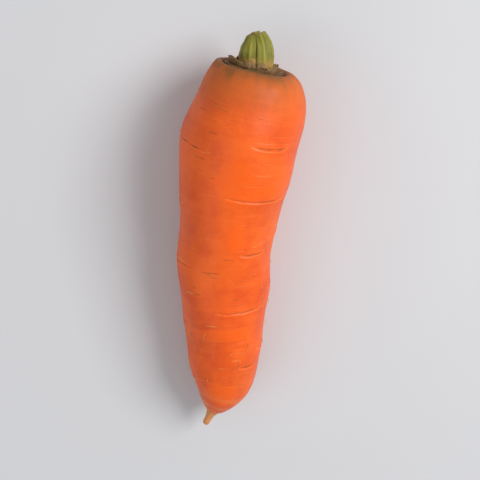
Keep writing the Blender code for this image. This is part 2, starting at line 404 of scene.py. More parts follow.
def surfaceGroup():
    tree, given = newTree(
        "carrotSurface",
        {"Outline": "NodeSocketGeometry", "Walked": 0.0, "Angle": 0.0, "Lift": 0.0},
        (("Position", "NodeSocketVector"),),
    )
    s = rootShape
    walked, angle = given["Walked"], given["Angle"]
    share = reliefShare(walked)
    shifted = walked + share * s["ringSlant"] * sine(angle + s["ringTwist"] * walked)
    values = {"Curves": given["Outline"], "Factor": shifted / skinLength}
    settings = {"mode": "FACTOR", "use_all_curves": True}
    sample = addNode(tree, "GeometryNodeSampleCurve", values, "Position", **settings)
    radius, distance, _ = parts(sample)
    swell = sum(
        height * sine(turns * angle + waves * walked + start) for height, turns, waves, start in s["swells"]
    )
    drop = s["shoulderDrop"] * ramp(shifted, s["dropStart"], s["dropStart"] + s["dropRise"])
    drop = drop * ramp(shifted, s["dropEnd"] - s["dropFall"], s["dropEnd"], 1.0, 0.0)
    drop = drop * (0.5 + 0.5 * cosine(angle - s["dropFacing"])) ** 2
    radius = atLeast(radius, 0.0) * (1 + share * s["squash"] * cosine(2 * angle)) * (1 - drop)
    radius = radius + share * swell + given["Lift"]
    x, y, z = besideLine(distance, radius * cosine(angle), radius * sine(angle))
    endTree(tree, vector(tree, x, y, atLeast(z, 0.0)))
    return tree


# Marks on the skin: a crease or scar is a slot with a low lip, at one distance and angle

def markGroup():
    inputs = {"Walked": 0.0, "Angle": 0.0, "Middle": 0.0, "Facing": 0.0, "Spread": 0.1}
    inputs |= {"Width": 0.0008, "Bow": 0.0, "Lip Width": 2.6, "Full Share": 0.45, "Fade Share": 0.75}
    tree, given = newTree("skinMark", inputs, (("Slot", "NodeSocketFloat"), ("Lip", "NodeSocketFloat")))
    off = (given["Angle"] - given["Facing"]).math("WRAP", math.pi, -math.pi)
    off = off.math("ABSOLUTE") / given["Spread"]
    share = ramp(off, given["Full Share"], given["Full Share"] + given["Fade Share"], 1.0, 0.0)
    away = given["Walked"] - given["Middle"] - given["Bow"] * off * off
    slot = ((away / given["Width"]) ** 2 * -1.0).math("EXPONENT")
    lip = ((away / (given["Width"] * given["Lip Width"])) ** 2 * -1.0).math("EXPONENT")
    endTree(tree, share * slot, share * lip)
    return tree


creases = {
    "count": 20,
    "start": 0.0410,
    "end": 0.1600,
    "crowding": 1.1,
    "rows": (0.55, 1.75, 3.60, 4.95),
    "rowStep": 3,
    "sway": 0.24,
    "depth": (0.00038, 0.00078),
    "spread": (0.26, 0.80),
    "width": (0.00042, 0.00070),
    "wobble": 0.0013,
    "bow": 0.0012,
    "lipShare": 0.40,
}
scars = {
    "count": 230,
    "start": 0.0240,
    "end": 0.1630,
    "depth": (0.00004, 0.00016),
    "spread": (0.03, 0.34),
    "width": (0.00018, 0.00036),
    "strength": (0.15, 1.0),
    "shortness": 2.5,
    "wobble": 0.0009,
    "lipShare": 0.55,
    "seed": 11,
}


def repeatZone(tree, geometry, count):
    entry = newNode(tree, "GeometryNodeRepeatInput")
    leave = newNode(tree, "GeometryNodeRepeatOutput")
    entry.pair_with_output(leave)
    plug(tree, count, entry.inputs["Iterations"])
    plug(tree, geometry, entry.inputs["Geometry"])
    return Wire(tree, entry.outputs["Iteration"]), Wire(tree, entry.outputs["Geometry"]), leave


def randomBetween(tree, limits, number, seed):
    node = newNode(tree, "FunctionNodeRandomValue")
    plug(tree, number, node.inputs["ID"])
    plug(tree, seed, node.inputs["Seed"])
    for name, value in zip(("Min", "Max"), limits):
        inputOf(node, name).default_value = value
    return Wire(tree, outputOf(node))


def draws(tree, number, seed, *limits):  # a random value for each number and pair of limits
    return [randomBetween(tree, pair, number, seed + i) for i, pair in enumerate(limits)]


def addMark(tree, inside, leave, mark, values, kind, look, depth, strength):
    place = kept(tree, "skinPlace", "FLOAT_VECTOR")
    waver = (noise(place, 210.0, 2.0) - 0.5) * look["wobble"]
    values = values | {"Walked": kept(tree, "walked") + waver, "Angle": kept(tree, "turn")}
    slot, lip = useGroup(tree, mark, values)
    uneven = 0.55 + 0.9 * noise(place, 330.0, 1.0)
    relief = kept(tree, "relief") + depth * uneven * (look["lipShare"] * lip - slot)
    inside = keep(inside, "relief", relief)
    masks = {kind: slot * uneven}
    if kind == "crease":
        masks["creaseLip"] = lip
    for name, height in masks.items():
        inside = keep(inside, name, kept(tree, name).math("MAXIMUM", height * strength))
    plug(tree, inside, leave.inputs["Geometry"])
    return Wire(tree, leave.outputs["Geometry"])


def pressCreases(tree, geometry, mark, count, depthShare):
    number, inside, leave = repeatZone(tree, geometry, count)
    share = (number + 0.5) / count
    rows = newNode(tree, "GeometryNodeIndexSwitch", data_type="FLOAT")
    for _ in creases["rows"][2:]:
        rows.index_switch_items.new()
    plug(tree, (number * creases["rowStep"]).math("MODULO", len(creases["rows"])), rows.inputs["Index"])
    for i, angle in enumerate(creases["rows"]):
        rows.inputs[1 + i].default_value = angle
    values = {
        "Middle": between((creases["start"], creases["end"]), share ** creases["crowding"]),
        "Facing": Wire(tree, outputOf(rows)) + creases["sway"] * sine(number * goldenAngle),
        "Spread": between(creases["spread"], fraction(number * golden + 0.2)),
        "Width": between(creases["width"], fraction(number * golden + 0.7)),
        "Bow": creases["bow"] * (fraction(number * plastic) - 0.5),
    }
    depth = between(creases["depth"], fraction(number * plastic + 0.5)) * depthShare
    return addMark(tree, inside, leave, mark, values, "crease", creases, depth, 1.0)


def pressScars(tree, geometry, mark, count):
    number, inside, leave = repeatZone(tree, geometry, count)
    span = (scars["start"], scars["end"])
    limits = (span, (0.0, fullTurn), (0.0, 1.0), scars["width"], scars["strength"])
    middle, facing, chance, width, strength = draws(tree, number, scars["seed"], *limits)
    spread = between(scars["spread"], chance ** scars["shortness"])
    values = {"Middle": middle, "Facing": facing, "Spread": spread, "Width": width, "Full Share": 0.3}
    depth = between(scars["depth"], strength)
    return addMark(tree, inside, leave, mark, values, "scar", scars, depth, strength)


# Skin of the taproot

skin = {
    "Sides": 172,
    "Rows": 560,
    "Crease Count": creases["count"],
    "Crease Depth": 1.2,
    "Scar Count": scars["count"],
    "Wrinkle Height": 0.00015,
    "Lump Height": 0.00030,
    "Shoulder Pleats": 13.0,
    "Pleat Height": 0.00016,
}
seatRows = 8
seatReach = 0.0085
skinAround = 0.020  # radius of the even tube that the noises are laid on
blushes = (  # where the orange is deepest: skin distance, angle, reach along, reach round, strength
    (0.056, 0.02, 0.0090, 0.34, 0.9),
    (0.060, 0.55, 0.0030, 0.50, 0.8),
    (0.080, 0.20, 0.0110, 0.26, 0.6),
    (0.121, -0.05, 0.0026, 0.80, 1.0),
    (0.150, 0.05, 0.0065, 0.70, 0.8),
    (0.100, 2.60, 0.0120, 0.60, 0.8),
    (0.062, 3.90, 0.0090, 0.55, 0.7),
)


def skinTree(surface, mark, material):
    tree, given = newTree("carrotSkin", {"Outline": "NodeSocketObject"} | skin)
    outline = addNode(tree, "GeometryNodeObjectInfo", {"Object": given["Outline"]}, "Geometry")
    sheet, u, v = gridOf(tree, given["Sides"] + 1, given["Rows"])
    row = v * (given["Rows"] - 1)
    onSeat = row.math("MINIMUM", seatRows) * (seatReach / seatRows)
    onBody = atLeast(row - seatRows, 0.0) / (given["Rows"] - 1 - seatRows) * (skinLength - seatReach)
    angle = u * fullTurn
    place = vector(tree, skinAround * cosine(angle), skinAround * sine(angle), onSeat + onBody)
    skinned = keepAll(sheet, {"walked": onSeat + onBody, "turn": angle})
    skinned = keep(skinned, "skinPlace", place, "FLOAT_VECTOR")
    skinned = keepAll(skinned, dict.fromkeys(("relief", "crease", "creaseLip", "scar"), 0.0))
    skinned = pressCreases(tree, skinned, mark, given["Crease Count"], given["Crease Depth"])
    skinned = pressScars(tree, skinned, mark, given["Scar Count"])

    walked, turn, place = kept(tree, "walked"), kept(tree, "turn"), kept(tree, "skinPlace", "FLOAT_VECTOR")
    rings = noise(stretched(place, 70.0, 70.0, 800.0), 1.0, 3.0, 0.6) - 0.5
    patchy = ramp(noise(place, 95.0, 1.0), 0.42, 0.62)
    wrinkles = given["Wrinkle Height"] * rings * (0.35 + patchy)
    lumps = given["Lump Height"] * (noise(place, 75.0, 2.0) - 0.5)
    onShoulder = ramp(walked, 0.0105, 0.0130) * ramp(walked, 0.0180, 0.0270, 1.0, 0.0)
    bend = 2.2 * noise(place, 140.0, 1.0)
    pleats = given["Pleat Height"] * onShoulder * sine(given["Shoulder Pleats"] * turn + bend)
    body = reliefShare(walked)
    lift = body * (kept(tree, "relief") + wrinkles + lumps) + pleats
    values = {"Outline": outline, "Walked": walked, "Angle": turn, "Lift": lift}
    skinned = moveTo(skinned, useGroup(tree, surface, values)[0])
    finishTree(tree, skinned, material)
    return tree


# Leaf stalks and dry scales: an oval section bent round the tuft's middle, from a grid
# that is closed along its sides and zipped together at both ends

def sheathGroup():
    inputs = {"Across": 0.0, "Thickness Share": 1.0, "Reach": 0.005, "Bend": 0.005, "Spread": 0.8}
    inputs |= {"Thickness": 0.001, "Ribs": 0.0, "Rib Phase": 0.0, "Rib Height": 0.0, "Edge": 1.0}
    outputs = (("X", "NodeSocketFloat"), ("Y", "NodeSocketFloat"))
    tree, given = newTree("sheathSection", inputs, outputs)
    turn = given["Across"] * fullTurn
    face = sine(turn)
    thin = face.math("SIGN") * face.math("ABSOLUTE") ** given["Edge"]
    out = given["Bend"] + given["Thickness Share"] * given["Thickness"] * thin
    rib = cosine(cosine(turn) * given["Ribs"] * math.pi + given["Rib Phase"]) * atLeast(face, 0.0)
    out = out + given["Thickness Share"] * given["Rib Height"] * rib
    roundAngle = given["Spread"] * cosine(turn)
    x = given["Reach"] - given["Bend"] + out * cosine(roundAngle)
    endTree(tree, x, out * sine(roundAngle))
    return tree


def levelCurve(tree, rise, stops):  # a share that runs through (height, value) stops
    node = newNode(tree, "ShaderNodeFloatCurve")
    curve = node.mapping.curves[0]
    node.mapping.clip_max_y = 2.0
    for place, value in stops[1:-1]:
        curve.points.new(place, value)
    for point, (place, value) in zip(curve.points, stops):
        point.location = (place, value)
    node.mapping.update()
    plug(tree, rise, node.inputs["Value"])
    return Wire(tree, node.outputs[0])


def copiesOf(tree, sheet, count):  # copies with their number kept as an attribute
    line = newNode(tree, "GeometryNodeMeshLine")
    plug(tree, count, line.inputs["Count"])
    points = Wire(tree, line.outputs[0])
    many = addNode(tree, "GeometryNodeInstanceOnPoints", {"Points": points, "Instance": sheet})
    index = Wire(tree, newNode(tree, "GeometryNodeInputIndex").outputs[0])
    many = keep(many, "number", index, domain="INSTANCE")
    return addNode(tree, "GeometryNodeRealizeInstances", {"Geometry": many})


def sheathsOf(tree, given, count, zipLow, zipHigh):  # and where each point is on its own sheath
    sheet, u, v = gridOf(tree, given["Sides"] + 1, given["Levels"])
    bundle = copiesOf(tree, keepAll(sheet, {"across": u, "along": v}), count)
    number, across, along = [kept(tree, name) for name in ("number", "across", "along")]
    rise = ramp(along, zipLow, zipHigh, smooth=False)
    closing = ramp(along, 0.0, zipLow, smooth=False) * ramp(along, zipHigh, 1.0, 1.0, 0.0, smooth=False)
    onCut = ramp(along, zipHigh, 1.0, smooth=False)
    return bundle, number, across, rise, closing, onCut


def spun(x, y, angle):
    return x * cosine(angle) - y * sine(angle), x * sine(angle) + y * cosine(angle)


gap = 0.0003
plateThickness = 0.0013
stalks = {
    "Stalk Count": 9,
    "Sides": 96,
    "Levels": 56,
    "Ring": 0.0061,
    "Ring Step": 0.00062,
    "First Angle": math.radians(52),
    "Spread": 0.80,
    "Spread Step": 0.035,
    "Half Thickness": 0.00128,
    "Thinning": 0.045,
    "Cut Height": 0.0152,
    "Cut Slope": 0.46,
    "Cut Outer": 0.92,
    "Cut Uneven": 0.08,
    "Ribs": 5.0,
    "Rib Height": 0.00015,
}
stalkRoot = 0.0003
stalkLevels = {  # share of the ring's reach, of the bend, of the spread and of the thickness, by height
    "reach": ((0.0, 0.96), (0.20, 1.05), (0.42, 1.04), (0.63, 0.93), (0.83, 0.75), (1.0, 0.54)),
    "bend": ((0.0, 1.00), (0.20, 1.02), (0.42, 1.00), (0.63, 0.92), (0.83, 0.78), (1.0, 0.62)),
    "spread": ((0.0, 1.00), (0.20, 1.00), (0.42, 1.00), (0.63, 0.97), (0.83, 0.93), (1.0, 0.88)),
    "thickness": ((0.0, 1.00), (0.20, 1.04), (0.42, 1.04), (0.63, 1.00), (0.83, 0.92), (1.0, 0.80)),
}
tuftLean = 0.20


def stalkTree(sheath, material):
    tree, given = newTree("cutStalks", stalks)
    bundle, number, across, rise, closing, onCut = sheathsOf(tree, given, given["Stalk Count"], 0.03, 0.84)
    ring = given["Ring"] - given["Ring Step"] * number
    angle = given["First Angle"] + goldenAngle * number
    level = {name: levelCurve(tree, rise, stops) for name, stops in stalkLevels.items()}
    values = {
        "Across": across,
        "Thickness Share": closing,
        "Reach": ring * level["reach"],
        "Bend": ring * level["bend"],
        "Spread": (given["Spread"] + given["Spread Step"] * number) * level["spread"],
        "Thickness": given["Half Thickness"] * (1 - given["Thinning"] * number) * level["thickness"],
        "Ribs": given["Ribs"] * (1 - 0.08 * number),
        "Rib Phase": 3.0 * noise(vector(tree, number * 3.1, rise * 0.7, across * 1.5), 1.4, 2.0),
        "Rib Height": given["Rib Height"] * ramp(rise, 0.70, 1.0, 1.0, 0.2) * (1 - 0.09 * number),
        "Edge": 0.9,
    }
    x, y = useGroup(tree, sheath, values)
    lean = vector(tree, number * 3.7, rise * 2.0, 0.5)
    x = x + 0.0010 * rise * (noise(lean, 1.3, 1.0) - 0.5)
    tuftX, tuftY = spun(x, y, angle)
    inward = number / (stalks["Stalk Count"] - 1)
    shorter = between((stalks["Cut Outer"], 1.0), inward) - given["Cut Uneven"] * fraction(number * golden)
    ragged = 0.0006 * (noise(vector(tree, x * 420.0, y * 420.0, number * 5.0), 1.0, 2.0) - 0.5)
    top = shorter * (given["Cut Height"] + given["Cut Slope"] * tuftY) + ragged
    low = 2 * gap + plateThickness + stalkRoot
    sunk = 0.0005 * ramp(onCut, 0.15, 0.75)
    height = low + rise * (top - low) - sunk
    sideways, outside = cosine(across * fullTurn), sine(across * fullTurn)
    rib = cosine(sideways * values["Ribs"] * math.pi + values["Rib Phase"])
    bundle = keepAll(bundle, {"rise": rise, "onCut": onCut, "sideways": sideways})
    bundle = keepAll(bundle, {"outside": outside, "rib": rib})
    bundle = moveTo(bundle, vector(tree, tuftX, tuftY, height))
    finishTree(tree, bundle, material)
    return tree


heart = {"Sides": 72, "Levels": 40, "Radius": 0.0061, "Height": 0.0112, "Lump": 0.0007}


def heartTree(material):
    tree, given = newTree("tuftHeart", heart)
    sheet, u, v = gridOf(tree, given["Sides"] + 1, given["Levels"])
    turn, climb = u * fullTurn, (v - 0.5) * math.pi
    under = 1 + climb.math("MINIMUM", 0.0) * (2 / math.pi)
    wide = cosine(atLeast(climb, 0.0)) * under
    place = vector(tree, wide * cosine(turn), wide * sine(turn), sine(climb))
    lumps = 1 + given["Lump"] / given["Radius"] * (noise(place, 3.2, 2.0) - 0.5) * 2
    base = 2 * gap + plateThickness
    across = given["Radius"] * wide * lumps
    domed = ramp(sine(climb), -0.1, 1.0, smooth=False) * lumps
    height = base + given["Height"] * domed.math("MINIMUM", 1.0)
    rise = ramp(sine(climb), 0.0, 1.0, 0.0, 0.6, smooth=False)
    sheet = keepAll(sheet, {"rise": rise, "onCut": 0.0, "sideways": sine(3.0 * turn)})
    sheet = keepAll(sheet, {"outside": 1.0, "rib": sine(13.0 * turn)})
    sheet = moveTo(sheet, vector(tree, across * cosine(turn), across * sine(turn), height))
    finishTree(tree, sheet, material)
    return tree


# Dry crown: a corky plate and two rings of torn, papery leaf bases

scales = {
    "Scale Count": 26,
    "Sides": 40,
    "Levels": 30,
    "Ring": 0.0091,
    "Ring Step": 0.0015,
    "Ring Jitter": 0.0006,
    "Turn Jitter": 0.16,
    "Least Lean": 0.0006,
    "Most Lean": 0.0022,
    "Spread": 0.36,
    "Half Thickness": 0.00026,
    "Shortest": 0.0011,
    "Tallest": 0.0038,
    "Tear": 0.0016,
    "Plate Sides": 96,
    "Plate Rows": 40,
    "Plate Radius": 0.0101,
    "Plate Flare": 0.0018,
    "Fissure Depth": 0.0009,
}


def scaleTree(sheath, material):
    tree, given = newTree("crownScales", scales)
    ruff, number, across, rise, closing, _ = sheathsOf(tree, given, given["Scale Count"], 0.05, 0.94)
    inner = ramp(fraction(number * 0.5), 0.25, 0.26)
    ring = given["Ring"] - given["Ring Step"] * inner
    ring = ring + given["Ring Jitter"] * (fraction(number * plastic) - 0.5)
    angle = number * (fullTurn / given["Scale Count"]) + given["Turn Jitter"] * sine(number * goldenAngle)
    lean = between((given["Least Lean"], given["Most Lean"]), fraction(number * plastic + 0.3))
    lean = lean * (1 - 1.2 * inner)
    wide = given["Spread"] * between((0.8, 1.25), fraction(number * golden + 0.4))
    values = {
        "Across": across,
        "Thickness Share": closing,
        "Reach": ring + lean * rise ** 2.0,
        "Bend": ring,
        "Spread": wide * (1 - 0.62 * rise ** 2.2),
        "Thickness": given["Half Thickness"] * (1.6 - 0.9 * rise),
        "Ribs": 5.0,
        "Rib Height": 0.00007,
        "Edge": 1.0,
    }
    x, y = spun(*useGroup(tree, sheath, values), angle)
    top = between((given["Shortest"], given["Tallest"]), fraction(number * golden + 0.35))
    edge = cosine(across * fullTurn)
    tears = noise(vector(tree, edge * 3.0, number * 3.1, 0.0), 1.6, 3.0, 0.7) - 0.5
    low = gap + 0.4 * plateThickness
    height = low + rise * (top + given["Tear"] * tears * rise)
    ruff = keepAll(ruff, {"rise": rise, "sideways": edge})
    curl = 0.0007 * rise * (noise(vector(tree, edge * 1.3, number * 2.3, rise), 1.5, 2.0) - 0.5)
    ruff = moveTo(ruff, vector(tree, x * (1 + curl * 120.0), y * (1 + curl * 120.0), height))

    disc, du, dv = gridOf(tree, given["Plate Sides"] + 1, given["Plate Rows"])
    turn = du * fullTurn
    over = ramp(dv, 0.0, 0.72, smooth=False)
    under = ramp(dv, 0.78, 1.0, smooth=False)
    onTop = ramp(dv, 0.70, 0.78, 1.0, 0.0)
    wavy = 0.7 + 0.6 * noise(vector(tree, 2.2 * cosine(turn), 2.2 * sine(turn), 0.0), 1.0, 3.0)
    reach = (given["Plate Radius"] + given["Plate Flare"] * wavy * onTop) * over * (1 - under)
    cracked = vector(tree, 9.0 * cosine(turn), 9.0 * sine(turn), reach * 260.0)
    fissures = noise(cracked, 1.0, 3.0, 0.65) - 0.5
    rough = given["Fissure Depth"] * fissures * ramp(dv, 0.02, 0.2) * ramp(dv, 0.64, 0.72, 1.0, 0.2)
    crust = gap + (plateThickness + rough) * onTop
    disc = keepAll(disc, {"rise": 0.0, "sideways": fissures * 2.0})
    disc = moveTo(disc, vector(tree, reach * cosine(turn), reach * sine(turn), crust))
    joined = newNode(tree, "GeometryNodeJoinGeometry")
    for piece in (disc, ruff):
        plug(tree, piece, joined.inputs[0])
    finishTree(tree, Wire(tree, joined.outputs[0]), material)
    return tree


# Fine hairs: rootlets that lie along the skin, and dry fibres that stand round the tuft

rootlets = {"Count": 24, "Length": 0.0050, "Thickness": 0.00011, "Seed": 5}
rootletReach = 0.016  # how far from the middle line they lie


def tubesOf(tree, count, pointCount):
    line = addNode(tree, "GeometryNodeCurvePrimitiveLine", {})
    line = addNode(tree, "GeometryNodeResampleCurve", {"Curve": line, "Count": pointCount})
    many = newNode(tree, "GeometryNodeDuplicateElements", domain="SPLINE")
    plug(tree, line, many.inputs["Geometry"])
    plug(tree, count, many.inputs["Amount"])
    step = Wire(tree, newNode(tree, "GeometryNodeSplineParameter").outputs["Factor"])
    return Wire(tree, many.outputs["Geometry"]), Wire(tree, many.outputs["Duplicate Index"]), step


def tubesToMesh(tree, lines, radius):
    lines = addNode(tree, "GeometryNodeSetCurveRadius", {"Curve": lines, "Radius": radius})
    profile = addNode(tree, "GeometryNodeCurvePrimitiveCircle", {"Resolution": 6, "Radius": 1.0})
    values = {"Curve": lines, "Profile Curve": profile, "Scale": radius, "Fill Caps": True}
    return addNode(tree, "GeometryNodeCurveToMesh", values)


def rootletTree(surface, material):
    tree, given = newTree("rootlets", {"Outline": "NodeSocketObject"} | rootlets)
    outline = addNode(tree, "GeometryNodeObjectInfo", {"Object": given["Outline"]}, "Geometry")
    lines, number, step = tubesOf(tree, given["Count"], 14)
    either = (-0.9, 0.9)
    limits = ((0.0, 1.0), (0.0, fullTurn), (0.35, 1.0), either, either, (0.3, 1.0))
    start, angle, size, heading, curl, loft = draws(tree, number, given["Seed"], *limits)
    walked = between((0.046, skinLength - 0.012), start ** 0.62)
    run = given["Length"] * size * step
    swerve = heading + curl * step
    values = {
        "Outline": outline,
        "Walked": walked + run * cosine(swerve),
        "Angle": angle + run * sine(swerve) / rootletReach,
        "Lift": 0.0011 * sine(step * 2.6) * loft - 0.0001,
    }
    x, y, z = parts(useGroup(tree, surface, values)[0])
    lines = moveTo(lines, vector(tree, x, y, atLeast(z, 1.3 * given["Thickness"])))
    mesh = tubesToMesh(tree, lines, given["Thickness"] * (1.15 - step))
    finishTree(tree, mesh, material)
    return tree


fibres = {"Count": 70, "Length": 0.0042, "Thickness": 0.00007, "Seed": 23}


def fibreTree(material):
    tree, given = newTree("crownFibres", fibres)
    lines, number, step = tubesOf(tree, given["Count"], 10)
    limits = ((0.0, fullTurn), (0.0074, 0.0095), (0.3, 1.0), (-0.5, 1.1), (-0.9, 0.9))
    angle, ring, size, outward, sway = draws(tree, number, given["Seed"], *limits)
    length = given["Length"] * size
    reach = ring + length * step * step * outward * 0.6
    turned = angle + sway * step * step * length / ring
    height = gap + 0.5 * plateThickness + length * step * (1 - 0.3 * step)
    lines = moveTo(lines, vector(tree, reach * cosine(turned), reach * sine(turned), height))
    mesh = tubesToMesh(tree, lines, given["Thickness"] * (1.2 - step))
    finishTree(tree, mesh, material)
    return tree


# Shader groups that several materials share

def shaderGroup(name, inputs, outputs):
    tree = bpy.data.node_groups.new(name, "ShaderNodeTree")
    for label, value in inputs.items():
        kind = "NodeSocketVector" if value is None else "NodeSocketFloat"
        socket = tree.interface.new_socket(name=label, in_out="INPUT", socket_type=kind)
        if value is not None:
            socket.default_value = value
    for label in outputs:
        tree.interface.new_socket(name=label, in_out="OUTPUT", socket_type="NodeSocketFloat")
    entry = newNode(tree, "NodeGroupInput")
    return tree, {label: Wire(tree, entry.outputs[label]) for label in inputs}


def speckGroup():  # small round spots, each there or not by chance
    inputs = {"Vector": None, "Scale": 400.0, "Size": 0.2, "Share": 0.3, "Ragged": 0.25}
    tree, given = shaderGroup("plantSpecks", inputs, ("Mask",))
    cell = newNode(tree, "ShaderNodeTexVoronoi", feature="F1")
    plug(tree, given["Vector"], cell.inputs["Vector"])
    plug(tree, given["Scale"], cell.inputs["Scale"])
    chance, _, _ = parts(Wire(tree, cell.outputs["Color"]))
    rough = given["Ragged"] * (noise(given["Vector"], 3.0 * given["Scale"]) - 0.5)
    spot = ramp(Wire(tree, cell.outputs["Distance"]) + rough, given["Size"] * 0.5, given["Size"], 1.0, 0.0)
    endTree(tree, spot * chance.math("LESS_THAN", given["Share"]))
    return tree


def fibreGroup():  # fine strands that run along Y of the vector
    inputs = {"Vector": None, "Fineness": 40.0, "Length": 2.0}
    tree, given = shaderGroup("plantFibre", inputs, ("Strand", "Height"))
    x, y, z = parts(given["Vector"])
    place = vector(tree, x * given["Fineness"], y * given["Length"], z)
    strand = noise(place, 1.0, 4.0, 0.62)
    endTree(tree, ramp(strand, 0.35, 0.65), strand)
    return tree


def newMaterial(name, **constants):
    material = bpy.data.materials.new(name)
    material.use_nodes = True
    tree = material.node_tree
    shader = tree.nodes["Principled BSDF"]
    for label, value in constants.items():
        shader.inputs[label].default_value = value
    return material, tree, shader


def attribute(tree, name, output="Fac"):
    node = newNode(tree, "ShaderNodeAttribute", attribute_type="GEOMETRY", attribute_name=name)
    return Wire(tree, node.outputs[output])


def attributes(tree, *names):
    return [attribute(tree, name) for name in names]


def objectPlace(tree):
    return Wire(tree, newNode(tree, "ShaderNodeTexCoord").outputs["Object"])


def bumped(tree, shader, height, distance, strength):
    node = newNode(tree, "ShaderNodeBump")
    node.inputs["Strength"].default_value = strength
    node.inputs["Distance"].default_value = distance
    plug(tree, height, node.inputs["Height"])
    tree.links.new(node.outputs["Normal"], shader.inputs["Normal"])


orangeSkin = {
    "deep": (0.76, 0.083, 0.006),
    "bright": (0.93, 0.138, 0.010),
    "vivid": (0.97, 0.128, 0.004),
    "pale": (0.93, 0.240, 0.048),
    "scar": (0.80, 0.300, 0.090),
    "scarBrown": (0.46, 0.085, 0.014),
    "creaseBrown": (0.30, 0.085, 0.020),
    "shoulderTan": (0.50, 0.128, 0.022),
    "rimOlive": (0.200, 0.080, 0.016),
    "corkBrown": (0.190, 0.086, 0.025),
    "tailTan": (0.62, 0.30, 0.11),
    "speck": (0.16, 0.055, 0.018),
}


def skinMaterial(specks):
    constants = {
        "Subsurface Weight": 0.18,
        "Subsurface Radius": (1.0, 0.30, 0.10),
        "Subsurface Scale": 0.003,
        "IOR": 1.42,
        "Specular IOR Level": 0.36,
        "Coat Weight": 0.06,
        "Coat Roughness": 0.24,
    }
    material, tree, shader = newMaterial("orangeSkin", **constants)
    c = orangeSkin
    place = attribute(tree, "skinPlace", "Vector")
    walked, crease, lip, scar = attributes(tree, "walked", "crease", "creaseLip", "scar")
    front, side, _ = parts(place)
    mottle = noise(place, 60.0, 4.0, 0.6)
    bands = noise(stretched(place, 22.0, 22.0, 330.0), 1.0, 3.0, 0.55)
    streaks = noise(stretched(place, 420.0, 420.0, 26.0), 1.0, 3.0, 0.6)
    fine = noise(place, 1500.0, 3.0, 0.6)

    colour = blendColour(ramp(mottle, 0.30, 0.68), c["deep"], c["bright"])
    colour = blendColour(ramp(bands, 0.50, 0.72) * 0.40, colour, c["bright"])
    colour = blendColour(ramp(bands, 0.28, 0.46, 1.0, 0.0) * 0.30, colour, c["deep"])
    colour = blendColour(ramp(streaks, 0.55, 0.78) * ramp(bands, 0.40, 0.60) * 0.14, colour, c["pale"])
    colour = blendColour(ramp(fine, 0.55, 0.75) * 0.22, colour, c["pale"])
    hairlines = noise(stretched(place, 60.0, 60.0, 1500.0), 1.0, 2.0, 0.5)
    paleLines = ramp(hairlines, 0.62, 0.74)
    colour = blendColour(paleLines * 0.40, colour, c["pale"])
    colour = blendColour(ramp(hairlines, 0.26, 0.36, 1.0, 0.0) * 0.55, colour, c["deep"])
    colour = blendColour(ramp(lip, 0.10, 0.75) * ramp(mottle, 0.30, 0.60) * 0.65, colour, c["vivid"])
    scarred = ramp(scar, 0.10, 0.85, smooth=False)
    tone = ramp(noise(place, 85.0, 2.0), 0.46, 0.56)
    colour = blendColour(scarred * 0.70, colour, blendColour(tone, c["scarBrown"], c["scar"]))
    blush = 0.0
    for middle, facing, along, around, strength in blushes:
        aside = 2 - (2 / skinAround) * (math.cos(facing) * front + math.sin(facing) * side)
        off = ((walked - middle) / along) ** 2 + aside / around ** 2
        blush = strength * (off * -1.0).math("EXPONENT") + blush
    patchy = noise(stretched(place, 130.0, 130.0, 320.0), 1.0, 3.0, 0.6)
    colour = blendColour(ramp(blush + 0.7 * (patchy - 0.5), 0.18, 0.55) * 0.8, colour, c["vivid"])
    soiled = ramp(noise(stretched(place, 240.0, 240.0, 1100.0), 1.0, 2.0), 0.36, 0.58)
    colour = blendColour(ramp(crease, 0.45, 1.0) * soiled * 0.80, colour, c["creaseBrown"])
    edge = ramp(crease, 0.06, 0.22) * ramp(crease, 0.26, 0.50, 1.0, 0.0)
    colour = blendColour(edge * 0.40, colour, c["pale"])
    spots = useGroup(tree, specks, {"Vector": place, "Scale": 520.0, "Size": 0.15, "Share": 0.10})[0]
    colour = blendColour(spots * 0.5, colour, c["speck"])
    dots = useGroup(tree, specks, {"Vector": place, "Scale": 780.0, "Size": 0.20, "Share": 0.22})[0]
    colour = blendColour(dots * 0.30, colour, c["pale"])

    tipward = ramp(walked, skinLength - 0.030, skinLength - 0.008)
    colour = blendColour(tipward * ramp(bands, 0.42, 0.62) * 0.45, colour, c["scar"])
    edge = walked + 0.012 * (mottle - 0.5) + 0.006 * (streaks - 0.5) + 0.10 * side
    shoulder = ramp(edge, 0.0165, 0.0385, 1.0, 0.0)
    colour = blendColour(shoulder * 0.80, colour, c["shoulderTan"])
    rim = ramp(edge, 0.0132, 0.0222, 1.0, 0.0)
    colour = blendColour(rim * 0.88, colour, c["rimOlive"])
    cork = ramp(walked + 0.003 * (streaks - 0.5), 0.0115, 0.0140, 1.0, 0.0)
    colour = blendColour(cork, colour, c["corkBrown"])
    tail = ramp(walked, skinLength - 0.0085, skinLength - 0.0060)
    colour = blendColour(tail * 0.8, colour, c["tailTan"])
    plug(tree, colour, shader.inputs["Base Color"])

    dull = 0.36 + 0.14 * mottle + 0.22 * scarred + 0.25 * shoulder + 0.2 * cork
    plug(tree, dull, shader.inputs["Roughness"])
    micro = noise(stretched(place, 500.0, 500.0, 2600.0), 1.0, 3.0, 0.6)
    height = 0.55 * fine + 0.45 * micro + 0.5 * scarred * fine + 0.5 * paleLines - 0.6 * spots
    bumped(tree, shader, height, 0.00016, 0.8)
    return material


leafGreen = {
    "green": (0.200, 0.196, 0.012),
    "light": (0.400, 0.340, 0.060),
    "dark": (0.105, 0.118, 0.005),
    "base": (0.500, 0.280, 0.080),
    "cutFace": (0.420, 0.380, 0.120),
    "cutDot": (0.190, 0.240, 0.040),
    "dried": (0.270, 0.165, 0.055),
}


